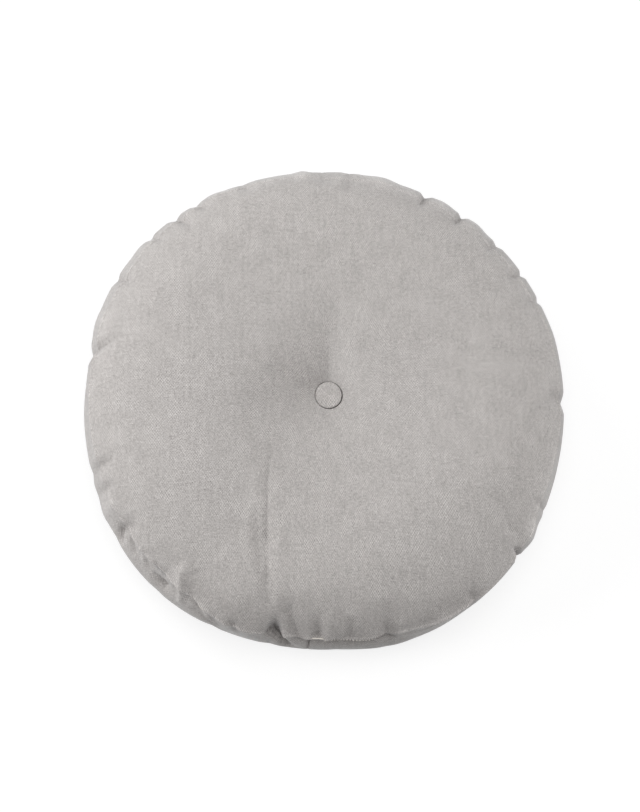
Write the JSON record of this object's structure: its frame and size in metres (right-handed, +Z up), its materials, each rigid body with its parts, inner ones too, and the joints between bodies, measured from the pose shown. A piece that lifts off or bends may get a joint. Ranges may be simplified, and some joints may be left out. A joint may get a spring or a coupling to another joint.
{
  "type": "round seat cushion",
  "caption": "Round filled seat cushion of grey brushed cotton with a sewn side band, gathered seams and a covered button tuft in the middle.",
  "frame": {"origin": "middle of the cushion's outline, on the surface that it lies on", "axes": "+Z up through the button, +Y away from the viewer of the picture's lower edge, +X to the right"},
  "size_m": [0.4038, 0.406, 0.0945],
  "materials": {
    "cover_cloth": "brushed cotton with a soft nap, warm light grey",
    "button_cloth": "the same brushed cotton, stretched over the button"
  },
  "bodies": {
    "root": {"cushion": "cover_cloth", "button": "button_cloth"}
  },
  "joints": []
}
